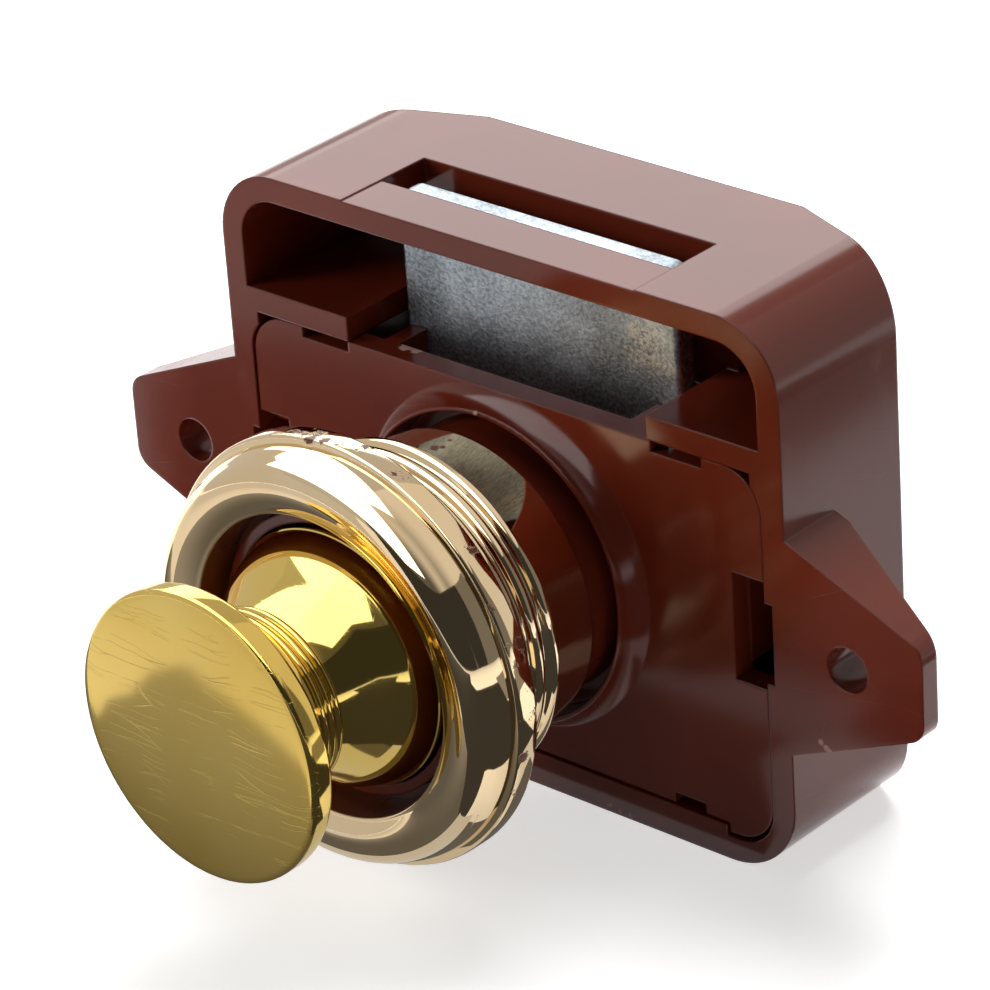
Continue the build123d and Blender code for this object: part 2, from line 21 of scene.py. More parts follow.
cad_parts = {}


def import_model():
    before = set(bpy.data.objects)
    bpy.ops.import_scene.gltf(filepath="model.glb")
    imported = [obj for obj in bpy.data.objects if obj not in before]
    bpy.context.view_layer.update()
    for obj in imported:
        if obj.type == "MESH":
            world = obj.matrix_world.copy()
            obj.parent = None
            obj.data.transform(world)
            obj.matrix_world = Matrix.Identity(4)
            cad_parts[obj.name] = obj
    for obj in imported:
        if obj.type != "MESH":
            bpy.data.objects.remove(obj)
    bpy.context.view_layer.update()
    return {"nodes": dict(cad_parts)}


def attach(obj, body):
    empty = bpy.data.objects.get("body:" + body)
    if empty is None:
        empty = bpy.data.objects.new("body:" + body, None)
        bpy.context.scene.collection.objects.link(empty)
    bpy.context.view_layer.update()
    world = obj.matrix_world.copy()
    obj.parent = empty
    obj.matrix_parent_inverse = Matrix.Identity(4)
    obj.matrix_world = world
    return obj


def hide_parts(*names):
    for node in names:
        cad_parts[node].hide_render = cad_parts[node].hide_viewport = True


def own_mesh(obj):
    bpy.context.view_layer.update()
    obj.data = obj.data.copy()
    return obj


LOG = logging.getLogger("push_button_lock")
MM = 0.001
EDGE_SAMPLES = 6
TABLE_TOP = -0.01682
CEILING = 0.88

Point = tuple[float, float]
Triple = tuple[float, float, float]
Mark = tuple[Triple, float]


class Body(Enum):
    """The rigid bodies that pieces ride on."""

    CASE = "lock_case"
    ESCUTCHEON = "escutcheon_ring"
    BUTTON = "button"


class Slot(Enum):
    """The record's material slot names; no piece here takes its finish from them."""

    PLATED = "plated_plastic"
    GILT = "knob_brass"
    STEEL = "spring_steel"


class Signal:
    """A value socket whose arithmetic adds Math nodes to the tree it belongs to."""

    def __init__(self, bench: "Bench", socket: bpy.types.NodeSocket) -> None:
        """Keep the socket together with the bench that can add nodes beside it."""
        self.bench = bench
        self.socket = socket

    def _math(self, operation: str, first: object, second: object = 0.0) -> "Signal":
        """Add one Math node.

        Args:
            operation: The Math node's operation.
            first: Its first value, a number or a signal.
            second: Its second value, a number or a signal.

        Returns:
            The node's result.
        """
        return self.bench.add(
            "ShaderNodeMath", {"operation": operation}, {0: first, 1: second}
        )

    def __add__(self, other: object) -> "Signal":
        """Sum of two values."""
        return self._math("ADD", self, other)

    def __radd__(self, other: object) -> "Signal":
        """Sum with a number on the left."""
        return self._math("ADD", other, self)

    def __sub__(self, other: object) -> "Signal":
        """Difference of two values."""
        return self._math("SUBTRACT", self, other)

    def __rsub__(self, other: object) -> "Signal":
        """Difference from a number on the left."""
        return self._math("SUBTRACT", other, self)

    def __mul__(self, other: object) -> "Signal":
        """Product of two values."""
        return self._math("MULTIPLY", self, other)

    def __rmul__(self, other: object) -> "Signal":
        """Product with a number on the left."""
        return self._math("MULTIPLY", other, self)

    def __abs__(self) -> "Signal":
        """Size of a value without its sign."""
        return self._math("ABSOLUTE", self)

    def root(self) -> "Signal":
        """Square root of a value."""
        return self._math("SQRT", self)

    def most(self, other: object) -> "Signal":
        """Larger of two values."""
        return self._math("MAXIMUM", self, other)

    def least(self, other: object) -> "Signal":
        """Smaller of two values."""
        return self._math("MINIMUM", self, other)

    def rise(self, low: float, high: float) -> "Signal":
        """Smooth step of a value.

        Args:
            low: Where the step leaves 0; above high, the step falls instead.
            high: Where it reaches 1.

        Returns:
            The step, from 0 to 1.
        """
        falling = low > high
        start, end = (high, low) if falling else (low, high)
        step = self.bench.add(
            "ShaderNodeMapRange",
            {"interpolation_type": "SMOOTHSTEP"},
            {"Value": self, "From Min": start, "From Max": end},
        )
        return 1.0 - step if falling else step


class Bench:
    """A node tree being built, with one method that adds any node."""

    def __init__(self, tree: bpy.types.NodeTree) -> None:
        """Clear the tree and keep it."""
        self.tree = tree
        tree.nodes.clear()

    def add(
        self,
        kind: str,
        settings: dict[str, object] | None = None,
        inputs: dict[object, object] | None = None,
        output: object = 0,
    ) -> Signal:
        """Add a node, set it up and feed its sockets.

        Args:
            kind: The node's type.
            settings: Its own settings, set before its sockets.
            inputs: Values or signals for its sockets, by name or place.
            output: Which output to hand back, by name or place.

        Returns:
            The chosen output.
        """
        node = self.tree.nodes.new(kind)
        for key, value in (settings or {}).items():
            setattr(node, key, value)
        for key, value in (inputs or {}).items():
            socket = node.inputs[key]
            if isinstance(value, Signal):
                self.tree.links.new(value.socket, socket)
            else:
                socket.default_value = value
        return Signal(self, node.outputs[output])

    def place(self) -> Signal:
        """The point being shaded, in the object's own coordinates."""
        return self.add("ShaderNodeTexCoord", output="Object")

    def axes(self, vector: Signal) -> tuple[Signal, Signal, Signal]:
        """The three parts of a vector."""
        x = self.add("ShaderNodeSeparateXYZ", None, {0: vector}, "X")
        node = x.socket.node
        return x, Signal(self, node.outputs["Y"]), Signal(self, node.outputs["Z"])

    def vector(self, x: object, y: object, z: object) -> Signal:
        """A vector from three parts."""
        return self.add("ShaderNodeCombineXYZ", None, {0: x, 1: y, 2: z})

    def noise(
        self, where: Signal, scale: float, detail: float = 4.0, rough: float = 0.5
    ) -> Signal:
        """Soft noise from 0 to 1.

        Args:
            where: The point to read it at.
            scale: Lumps per metre.
            detail: Octaves.
            rough: How strong the finer octaves are.

        Returns:
            The noise.
        """
        return self.add(
            "ShaderNodeTexNoise",
            {"noise_dimensions": "3D"},
            {"Vector": where, "Scale": scale, "Detail": detail, "Roughness": rough},
        )

    def blend(self, share: object, first: object, second: object) -> Signal:
        """Mix two colours.

        Args:
            share: How much of the second shows.
            first: Colour or signal at share 0.
            second: Colour or signal at share 1.

        Returns:
            The mixed colour.
        """
        return self.add(
            "ShaderNodeMix",
            {"data_type": "RGBA"},
            {0: share, 6: first, 7: second},
            output=2,
        )

    def bump(
        self, height: Signal, depth: float, strength: float, edge_radius: float = 0.0
    ) -> Signal:
        """A normal bent by a height.

        Args:
            height: The height, from 0 to 1.
            depth: The depth that 1 stands for, in metres.
            strength: Share of the effect that is kept.
            edge_radius: What sharp edges seem rounded by, in metres, if at all.

        Returns:
            The normal.
        """
        inputs: dict[object, object] = {
            "Height": height,
            "Distance": depth,
            "Strength": strength,
        }
        if edge_radius:
            inputs["Normal"] = self.add(
                "ShaderNodeBevel", {"samples": EDGE_SAMPLES}, {"Radius": edge_radius}
            )
        return self.add("ShaderNodeBump", None, inputs)

    def near(self, where: Signal, spot: Triple, radius: float, ragged: float) -> Signal:
        """A ragged patch round a point.

        Args:
            where: The point being shaded.
            spot: The patch's centre, in millimetres.
            radius: Its radius, in millimetres.
            ragged: How far its edge wanders, in millimetres.

        Returns:
            1 inside the patch and 0 outside.
        """
        centre = tuple(value * MM for value in spot)
        fade = 0.08
        away = self.add(
            "ShaderNodeVectorMath", {"operation": "DISTANCE"}, {0: where, 1: centre}, "Value"
        )
        wander = self.noise(where, 1.6 / (radius * MM), detail=3.0) - 0.5
        return (away + wander * (2.0 * ragged * MM)).rise(
            (radius + fade) * MM, (radius - fade) * MM
        )

    def spots(self, where: Signal, marks: Sequence[Mark], ragged: float) -> Signal:
        """Ragged patches round several points.

        Args:
            where: The point being shaded.
            marks: Each patch's centre and radius, in millimetres.
            ragged: How far the edges wander, as a share of the radius.

        Returns:
            1 inside any patch and 0 outside.
        """
        first, *others = (
            self.near(where, spot, radius, radius * ragged) for spot, radius in marks
        )
        return reduce(Signal.most, others, first)

    def hairlines(
        self, where: Signal, pitch: float, turn: float, stretch: float, width: float
    ) -> Signal:
        """Fine straight scratches along one direction.

        Args:
            where: The point being shaded.
            pitch: Their usual spacing, in millimetres.
            turn: Their direction about Y, in degrees.
            stretch: Their length over their spacing.
            width: Their width as a share of the spacing.

        Returns:
            1 in a scratch and 0 between.
        """
        turned = self.add(
            "ShaderNodeMapping",
            {"vector_type": "POINT"},
            {
                "Vector": where,
                "Rotation": (0.0, math.radians(turn), 0.0),
                "Scale": (1.0 / stretch, 1.0, 1.0),
            },
        )
        cells = self.add(
            "ShaderNodeTexVoronoi",
            {"feature": "DISTANCE_TO_EDGE"},
            {"Vector": turned, "Scale": 1.0 / (pitch * MM), "Randomness": 1.0},
        )
        return cells.rise(width, 0.0)

    def surface(self, shader: Signal) -> None:
        """Send a shader to the tree's output, the world's own for its surroundings."""
        of_world = shader.socket.node.type == "BACKGROUND"
        kind = "ShaderNodeOutputWorld" if of_world else "ShaderNodeOutputMaterial"
        node = self.tree.nodes.new(kind)
        self.tree.links.new(shader.socket, node.inputs["Surface"])


def new_material(name: str) -> tuple[bpy.types.Material, Bench]:
    """Make an empty node material.

    Args:
        name: The material's name.

    Returns:
        The material and the bench that builds its tree.
    """
    material = bpy.data.materials.new(name)
    material.use_nodes = True
    return material, Bench(material.node_tree)


def dress(obj: bpy.types.Object, material: bpy.types.Material) -> None:
    """Put one material on the whole of an object."""
    obj.data.materials.clear()
    obj.data.materials.append(material)


@dataclass(frozen=True)
class MouldedBrown:
    """Glossy reddish-brown moulding with faint flow marks, rubs and nicks."""

    name: str
    nicks: tuple[Mark, ...]
    deep: Triple = (0.150, 0.0200, 0.0075)
    warm: Triple = (0.195, 0.0290, 0.0120)
    pale: Triple = (0.560, 0.330, 0.270)
    edge_radius: float = 0.22 * MM
    side_wall_x: float = 23.9
    flow_scale: float = 60.0
    grain_scale: float = 2600.0
    rub_scale: float = 240.0
    polish: float = 0.12
    index: float = 1.46

    def build(self) -> bpy.types.Material:
        """Build the finish.

        Returns:
            The material.
        """
        material, bench = new_material(self.name)
        where = bench.place()
        x, _, _ = bench.axes(where)
        flow = bench.noise(where, self.flow_scale, detail=3.0)
        grain = bench.noise(where, self.grain_scale, detail=2.0)
        rub = bench.noise(where, self.rub_scale, detail=6.0, rough=0.65).rise(0.56, 0.74)
        side = abs(x).rise((self.side_wall_x - 0.3) * MM, self.side_wall_x * MM)
        scratch = bench.hairlines(where, pitch=3.2, turn=24.0, stretch=9.0, width=0.004)
        lines = scratch * side * 0.6
        colour = bench.blend(flow.rise(0.35, 0.70), (*self.deep, 1.0), (*self.warm, 1.0))
        nick = bench.spots(where, self.nicks, ragged=0.7)
        colour = bench.blend(nick, colour, (*self.pale, 1.0))
        rough = self.polish + flow * 0.05 + rub * 0.07 + lines * 0.22 + nick * 0.35
        height = flow * 0.6 + grain * 0.05 - lines * 0.05
        relief = bench.bump(height, 0.05 * MM, strength=0.35, edge_radius=self.edge_radius)
        shader = bench.add(
            "ShaderNodeBsdfPrincipled",
            None,
            {"Base Color": colour, "Roughness": rough, "IOR": self.index, "Normal": relief},
        )
        bench.surface(shader)
        return material


@dataclass(frozen=True)
class PaleGilt:
    """Mirror plating in pale gold over brown plastic, bare in the mouth and chipped outside."""

    name: str = "pale_gilt"
    plating: Triple = (0.84, 0.64, 0.38)
    thin: Triple = (0.88, 0.71, 0.47)
    under: Triple = (0.130, 0.036, 0.014)
    mouth_radius: float = 10.68
    flange_radius: float = 15.16
    flange_back_y: float = -14.25
    cloud_scale: float = 110.0
    speck_scale: float = 1500.0
    haze_scale: float = 420.0
    polish: float = 0.045
    chips: tuple[Mark, ...] = (
        ((-2.3, -16.6, 15.05), 0.30),
        ((-1.4, -15.9, 15.16), 0.42),
        ((-0.3, -15.6, 15.16), 0.34),
        ((14.41, -14.6, 4.72), 0.45),
        ((14.86, -15.5, -3.0), 0.40),
        ((0.1, -6.1, 10.75), 0.34),
        ((0.45, -5.7, 10.74), 0.20),
        ((0.2, -4.7, 10.75), 0.14),
    )

    def build(self) -> bpy.types.Material:
        """Build the finish.

        Returns:
            The material.
        """
        material, bench = new_material(self.name)
        where = bench.place()
        cloud = bench.noise(where, self.cloud_scale, detail=3.0)
        speck = bench.noise(where, self.speck_scale, detail=5.0, rough=0.7)
        haze = bench.noise(where, self.haze_scale, detail=4.0)
        bare = self._bare(bench, where)
        colour = bench.blend(cloud.rise(0.3, 0.75), (*self.plating, 1.0), (*self.thin, 1.0))
        colour = bench.blend(bare, colour, (*self.under, 1.0))
        rough = self.polish + haze.rise(0.5, 0.8) * 0.05 + bare * 0.18
        height = cloud * 0.7 + speck * 0.03 - bare * 0.4
        relief = bench.bump(height, 0.05 * MM, strength=0.4)
        shader = bench.add(
            "ShaderNodeBsdfPrincipled",
            None,
            {
                "Base Color": colour,
                "Metallic": 1.0 - bare,
                "Roughness": rough,
                "Normal": relief,
            },
        )
        bench.surface(shader)
        return material

    def _bare(self, bench: Bench, where: Signal) -> Signal:
        """Where plastic shows: the mouth and bore, the flange's worn edge and the chips."""
        x, y, z = bench.axes(where)
        radius = (x * x + z * z).root()
        mouth = radius.rise((self.mouth_radius + 0.04) * MM, (self.mouth_radius - 0.04) * MM)
        sleeve = y.rise((self.flange_back_y + 0.2) * MM, (self.flange_back_y + 0.4) * MM)
        mouth = mouth * (1.0 - sleeve)
        edge = radius.rise((self.flange_radius - 0.10) * MM, (self.flange_radius - 0.03) * MM)
        streaks = bench.noise(where, self.haze_scale, detail=5.0, rough=0.7).rise(0.60, 0.66)
        chipped = bench.spots(where, self.chips, ragged=0.8)
        return mouth.most(edge * streaks).most(chipped)


@dataclass(frozen=True)
class YellowGilt:
    """Polished yellow gilding with fine scratches on the pressed face."""

    name: str = "yellow_gilt"
    gold: Triple = (0.85, 0.63, 0.19)
    deep: Triple = (0.80, 0.55, 0.13)
    face_y: float = -29.0
    cloud_scale: float = 90.0
    drift_scale: float = 160.0
    patch_scale: float = 300.0
    polish: float = 0.050
    scratches: tuple[tuple[float, float, float, float], ...] = (
        (1.6, 35.0, 12.0, 0.010),
        (2.3, -48.0, 14.0, 0.008),
        (3.1, 82.0, 11.0, 0.007),
    )

    def build(self) -> bpy.types.Material:
        """Build the finish.

        Returns:
            The material.
        """
        material, bench = new_material(self.name)
        where = bench.place()
        _, y, _ = bench.axes(where)
        face = y.rise((self.face_y + 0.15) * MM, (self.face_y - 0.15) * MM)
        cloud = bench.noise(where, self.cloud_scale, detail=3.0)
        wander = bench.noise(where, self.drift_scale, detail=2.0)
        drift = bench.vector(wander * 0.0030, 0.0, wander * 0.0024)
        bent = bench.add("ShaderNodeVectorMath", {"operation": "ADD"}, {0: where, 1: drift})
        first, *others = (bench.hairlines(bent, *scratch) for scratch in self.scratches)
        lines = reduce(Signal.most, others, first)
        patchy = bench.noise(where, self.patch_scale, detail=3.0).rise(0.40, 0.62)
        scratch = lines * patchy * (face * 0.92 + 0.08)
        colour = bench.blend(cloud.rise(0.3, 0.8), (*self.gold, 1.0), (*self.deep, 1.0))
        rough = self.polish + face * 0.045 + cloud * 0.02 + scratch * 0.22
        relief = bench.bump(cloud * 0.5 - scratch * 0.22, 0.04 * MM, strength=0.5)
        shader = bench.add(
            "ShaderNodeBsdfPrincipled",
            None,
            {"Base Color": colour, "Metallic": 1.0, "Roughness": rough, "Normal": relief},
        )
        bench.surface(shader)
        return material


@dataclass(frozen=True)
class ZincMottle:
    """Bluish zinc plating with a mottled, gritty skin and a painted highlight near its right end.
    """

    name: str = "zinc_mottle"
    light: Triple = (0.77, 0.89, 1.0)
    dark: Triple = (0.27, 0.305, 0.345)
    # The painted highlight: its colour, its centre and radius in millimetres, and how far its edge
    # wanders.
    bright: Triple = (0.95, 0.95, 0.90)
    painted_highlight: Mark = ((9.6, 4.75, 16.2), 1.9)
    painted_highlight_ragged: float = 2.6
    mottle_scale: float = 300.0
    grit_scale: float = 3400.0
    polish: float = 0.32
    edge_radius: float = 0.2 * MM

    def build(self) -> bpy.types.Material:
        """Build the finish.

        Returns:
            The material.
        """
        material, bench = new_material(self.name)
        where = bench.place()
        mottle = bench.noise(where, self.mottle_scale, detail=6.0, rough=0.6)
        grit = bench.noise(where, self.grit_scale, detail=4.0, rough=0.7)
        colour = bench.blend(
            mottle.rise(0.32, 0.68) * 0.40 + grit.rise(0.35, 0.65) * 0.60,
            (*self.dark, 1.0),
            (*self.light, 1.0),
        )
        # Painted highlight: the colour is lifted towards bright in a gritty patch near the bolt's
        # right end.
        painted_highlight = bench.near(where, *self.painted_highlight, self.painted_highlight_ragged) * grit.rise(0.4, 0.6)
        colour = bench.blend(painted_highlight * 0.7, colour, (*self.bright, 1.0))
        rough = self.polish + mottle * 0.10 + grit.rise(0.5, 0.8) * 0.16
        height = mottle + grit * 0.8
        relief = bench.bump(height, 0.09 * MM, strength=0.7, edge_radius=self.edge_radius)
        shader = bench.add(
            "ShaderNodeBsdfPrincipled",
            None,
            {"Base Color": colour, "Metallic": 1.0, "Roughness": rough, "Normal": relief},
        )
        bench.surface(shader)
        return material


@dataclass(frozen=True)
class BlackMoulding:
    """Plain black moulding with a fine dull grain."""

    name: str = "black_moulding"
    black: Triple = (0.012, 0.011, 0.011)
    worn: Triple = (0.035, 0.032, 0.030)
    cloud_scale: float = 300.0
    grain_scale: float = 2200.0
    polish: float = 0.35

    def build(self) -> bpy.types.Material:
        """Build the finish.

        Returns:
            The material.
        """
        material, bench = new_material(self.name)
        where = bench.place()
        cloud = bench.noise(where, self.cloud_scale, detail=5.0)
        grain = bench.noise(where, self.grain_scale, detail=3.0)
        colour = bench.blend(cloud.rise(0.45, 0.8), (*self.black, 1.0), (*self.worn, 1.0))
        shader = bench.add(
            "ShaderNodeBsdfPrincipled",
            None,
            {
                "Base Color": colour,
                "Roughness": self.polish + cloud * 0.2,
                "Normal": bench.bump(grain, 0.02 * MM, strength=0.4),
            },
        )
        bench.surface(shader)
        return material


@dataclass(frozen=True)
class DrawnSteel:
    """Bright drawn steel with fine lengthwise marks."""

    name: str = "drawn_steel"
    bright: Triple = (0.66, 0.66, 0.68)
    dull: Triple = (0.42, 0.42, 0.44)
    mark_scale: float = 1800.0
    polish: float = 0.2

    def build(self) -> bpy.types.Material:
        """Build the finish.

        Returns:
            The material.
        """
        material, bench = new_material(self.name)
        where = bench.place()
        marks = bench.noise(where, self.mark_scale, detail=4.0, rough=0.6)
        colour = bench.blend(marks.rise(0.4, 0.7), (*self.bright, 1.0), (*self.dull, 1.0))
        shader = bench.add(
            "ShaderNodeBsdfPrincipled",
            None,
            {
                "Base Color": colour,
                "Metallic": 1.0,
                "Roughness": self.polish + marks * 0.15,
                "Normal": bench.bump(marks, 0.01 * MM, strength=0.5),
            },
        )
        bench.surface(shader)
        return material


@dataclass
class TurningProfile:
    """Half a section, drawn as points of radius and depth in millimetres."""

    points: list[Point] = field(default_factory=list)
    facets: int = 240
    crease: float = 38.0
    pole_radius: float = 1e-3
    weld: float = 2e-6

    def line(self, radius: float, y: float) -> None:
        """Begin the outline at a point, or add a straight run to it."""
        self.points.append((radius, y))

    def curve(self, control: Point, radius: float, y: float, steps: int) -> None:
        """Add a smooth run that bends towards one control point.

        Args:
            control: The point that the run's two ends aim at.
            radius: The run's end radius.
            y: The run's end depth.
            steps: How many rings it is divided in.
        """
        r0, y0 = self.points[-1]
        for k in range(1, steps + 1):
            t = k / steps
            a, b, c = (1 - t) ** 2, 2 * t * (1 - t), t * t
            self.points.append(
                (a * r0 + b * control[0] + c * radius, a * y0 + b * control[1] + c * y)
            )

    def turn(self, name: str, shut: bool) -> bpy.types.Object:
        """Turn the section about the button's axis.

        A ring is drawn at the first point and extruded from point to point.

        Args:
            name: The new object's name.
            shut: True if the last point is on the axis and closes to a pole there;
                otherwise the section closes on its first point.

        Returns:
            The turned object.
        """
        outline = list(self.points)
        if not shut:
            outline.append(outline[0])
        radius, depth = outline[0]
        bpy.ops.object.select_all(action="DESELECT")
        bpy.ops.mesh.primitive_circle_add(
            vertices=self.facets,
            radius=radius * MM,
            fill_type="NOTHING",
            location=(0.0, depth * MM, 0.0),
            rotation=(math.pi / 2, 0.0, 0.0),
        )
        obj = bpy.context.object
        obj.name = name
        bpy.ops.object.transform_apply(location=True, rotation=True, scale=True)
        bpy.ops.object.mode_set(mode="EDIT")
        bpy.ops.mesh.select_all(action="SELECT")
        for before, after in zip(outline, outline[1:]):
            bpy.ops.mesh.extrude_region_move(
                TRANSFORM_OT_translate={"value": (0.0, (after[1] - before[1]) * MM, 0.0)}
            )
            ratio = max(after[0], self.pole_radius) / max(before[0], self.pole_radius)
            if not math.isclose(ratio, 1.0):
                bpy.ops.transform.resize(
                    value=(ratio, 1.0, ratio), center_override=(0.0, after[1] * MM, 0.0)
                )
        if shut:
            bpy.ops.mesh.merge(type="CENTER")
        bpy.ops.mesh.select_all(action="SELECT")
        bpy.ops.mesh.remove_doubles(threshold=self.weld)
        bpy.ops.mesh.normals_make_consistent(inside=False)
        bpy.ops.object.mode_set(mode="OBJECT")
        bpy.ops.object.shade_smooth_by_angle(angle=math.radians(self.crease))
        return obj


@dataclass
class Escutcheon:
    """Rolled ring, stepped flange, ridged spigot and plain sleeve, in one turning."""

    lip_y: float = -18.3
    lip_radius: float = 10.6
    lip_round: float = 0.28
    ring_rise_radius: float = 11.75
    crest_radius: float = 12.7
    crest_y: float = -18.96
    ring_fall_radius: float = 13.75
    shoulder_radius: float = 14.18
    shoulder_y: float = -17.5
    shoulder_turn: Point = (14.52, -16.75)
    edge_radius: float = 14.6
    edge_y: float = -16.0
    flange_radius: float = 15.16
    flange_round: float = 0.2
    back_y: float = -14.25
    mouth_depth: float = 3.1
    spigot_radius: float = 12.1
    spigot_length: float = 1.3
    root_radius: float = 11.35
    ridge_side_radius: float = 11.86
    pitch: float = 1.45
    ridges: int = 3
    groove_place: float = 0.42
    groove_half: float = 0.28
    sleeve_radius: float = 10.75
    sleeve_round: float = 0.15
    sleeve_end_y: float = -3.65
    bore_radius: float = 10.03

    def profile(self) -> TurningProfile:
        """Draw the half section, from the lip round the outside and back up the bore.

        Returns:
            The profile.
        """
        p = TurningProfile()
        p.line(self.lip_radius + 0.01, self.lip_y + self.lip_round)
        p.curve(
            (self.lip_radius + 0.02, self.lip_y + 0.02),
            self.lip_radius + self.lip_round,
            self.lip_y,
            6,
        )
        p.curve((self.ring_rise_radius, self.crest_y), self.crest_radius, self.crest_y, 12)
        p.curve((self.ring_fall_radius, self.crest_y), self.shoulder_radius, self.shoulder_y, 16)
        p.curve(self.shoulder_turn, self.edge_radius, self.edge_y - 0.12, 8)
        p.line(self.edge_radius + 0.02, self.edge_y)
        p.line(self.edge_radius + 0.30, self.edge_y + 0.02)
        p.curve((self.flange_radius, self.edge_y + 0.02), self.flange_radius, self.edge_y + 0.4, 4)
        p.line(self.flange_radius, self.back_y - self.flange_round)
        rim = self.flange_radius - self.flange_round
        p.curve((self.flange_radius, self.back_y), rim, self.back_y, 3)
        p.line(self.spigot_radius + 0.1, self.back_y)
        p.curve((self.spigot_radius, self.back_y), self.spigot_radius, self.back_y + 0.1, 3)
        start = self.back_y + self.spigot_length
        p.line(self.spigot_radius, start)
        for k in range(self.ridges):
            root = start + k * self.pitch
            middle = root + self.pitch * self.groove_place
            near, far = middle - self.groove_half, middle + self.groove_half
            side = self.ridge_side_radius
            p.curve((self.spigot_radius, root + 0.14 * self.pitch), side, near, 4)
            p.curve((self.root_radius, middle), side, far, 6)
            p.curve(
                (self.spigot_radius, root + 0.74 * self.pitch),
                self.spigot_radius,
                root + self.pitch,
                5,
            )
        end = start + self.ridges * self.pitch
        p.curve((self.spigot_radius - 0.2, end + 0.15), self.sleeve_radius + 0.3, end + 0.2, 4)
        p.curve((self.sleeve_radius, end + 0.22), self.sleeve_radius, end + 0.5, 3)
        p.line(self.sleeve_radius, self.sleeve_end_y - self.sleeve_round)
        mouth = self.sleeve_radius - self.sleeve_round
        p.curve((self.sleeve_radius, self.sleeve_end_y), mouth, self.sleeve_end_y, 3)
        p.line(self.bore_radius, self.sleeve_end_y)
        p.line(self.bore_radius, self.lip_y + self.mouth_depth)
        p.line(self.lip_radius, self.lip_y + self.mouth_depth)
        return p

    def build(self, finish: bpy.types.Material) -> bpy.types.Object:
        """Turn and dress the escutcheon.

        Args:
            finish: Its material.

        Returns:
            The piece, riding on its body.
        """
        obj = self.profile().turn("escutcheon_turned", shut=False)
        dress(obj, finish)
        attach(obj, Body.ESCUTCHEON.value)
        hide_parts("escutcheon")
        return obj


@dataclass
class Knob:
    """Domed disc, rolled rim, beaded neck, bell and skirt."""

    face_y: float = -29.5
    radius: float = 10.12
    dome: float = 0.18
    rim: float = 1.8
    neck_radius: float = 6.25
    neck_y: float = -24.65
    waist: float = 5.85
    beads: int = 3
    bead_pitch: float = 0.75
    bead_height: float = 0.33
    neck_sweep: Point = (6.4, -21.15)
    disc_sweep: Point = (6.05, -26.2)
    disc_cone_radius: float = 7.9
    disc_cone_rise: float = 0.62
    rim_turn_radius: float = 9.0
    rim_round: float = 0.45
    dome_turn_radius: float = 6.0
    centre_radius: float = 0.02
    bell_turn: Point = (7.3, -20.0)
    bell_swell: Point = (8.5, -18.55)
    bell_radius: float = 9.04
    bell_rim_y: float = -16.7
    rim_width: float = 0.7
    skirt_end_y: float = -13.6
    bore_radius: float = 8.1
    bore_end_radius: float = 5.2
    bore_end_y: float = -21.2
    screw_radius: float = 1.5

    def profile(self) -> TurningProfile:
        """Draw the half section, from the bore round the outside to the face's centre.

        Returns:
            The profile.
        """
        p = TurningProfile()
        skirt = self.bell_radius - 0.1
        p.line(self.screw_radius, self.bore_end_y)
        p.line(self.bore_end_radius, self.bore_end_y)
        p.line(self.bore_radius, self.bell_rim_y - 1.0)
        p.line(self.bore_radius, self.skirt_end_y)
        p.line(skirt - 0.1, self.skirt_end_y)
        p.line(skirt, self.skirt_end_y - 0.1)
        p.line(skirt, self.bell_rim_y + self.rim_width)
        p.line(self.bell_radius, self.bell_rim_y + self.rim_width - 0.05)
        p.line(self.bell_radius, self.bell_rim_y + 0.05)
        p.line(skirt, self.bell_rim_y)
        p.curve(self.bell_swell, *self.bell_turn, 18)
        p.curve(self.neck_sweep, self.waist, self.neck_y + self.beads * self.bead_pitch, 12)
        taper = (self.neck_radius - self.waist) / self.beads
        for k in reversed(range(self.beads)):
            valley = self.neck_radius - k * taper
            crest = valley - taper / 2 + 2 * self.bead_height
            middle = self.neck_y + (k + 0.5) * self.bead_pitch
            p.curve((crest, middle), valley, self.neck_y + k * self.bead_pitch, 10)
        back_y = self.face_y + self.rim
        cone, rim = self.disc_cone_radius, self.radius - self.rim_round
        p.curve(self.disc_sweep, cone, back_y + self.disc_cone_rise, 12)
        p.curve((self.rim_turn_radius, back_y + 0.12), rim, back_y + 0.01, 8)
        p.curve((self.radius, back_y), self.radius, back_y - 0.4, 5)
        p.line(self.radius, self.face_y + self.rim_round)
        p.curve((self.radius, self.face_y), self.radius - 0.55, self.face_y - 0.01, 6)
        crown_y = self.face_y - self.dome
        p.curve((self.dome_turn_radius, crown_y), self.centre_radius, crown_y, 16)
        return p

    def build(self, finish: bpy.types.Material) -> bpy.types.Object:
        """Turn and dress the knob.

        Args:
            finish: Its material.

        Returns:
            The piece, riding on its body.
        """
        obj = self.profile().turn("knob_turned", shut=True)
        dress(obj, finish)
        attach(obj, Body.BUTTON.value)
        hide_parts("knob")
        return obj


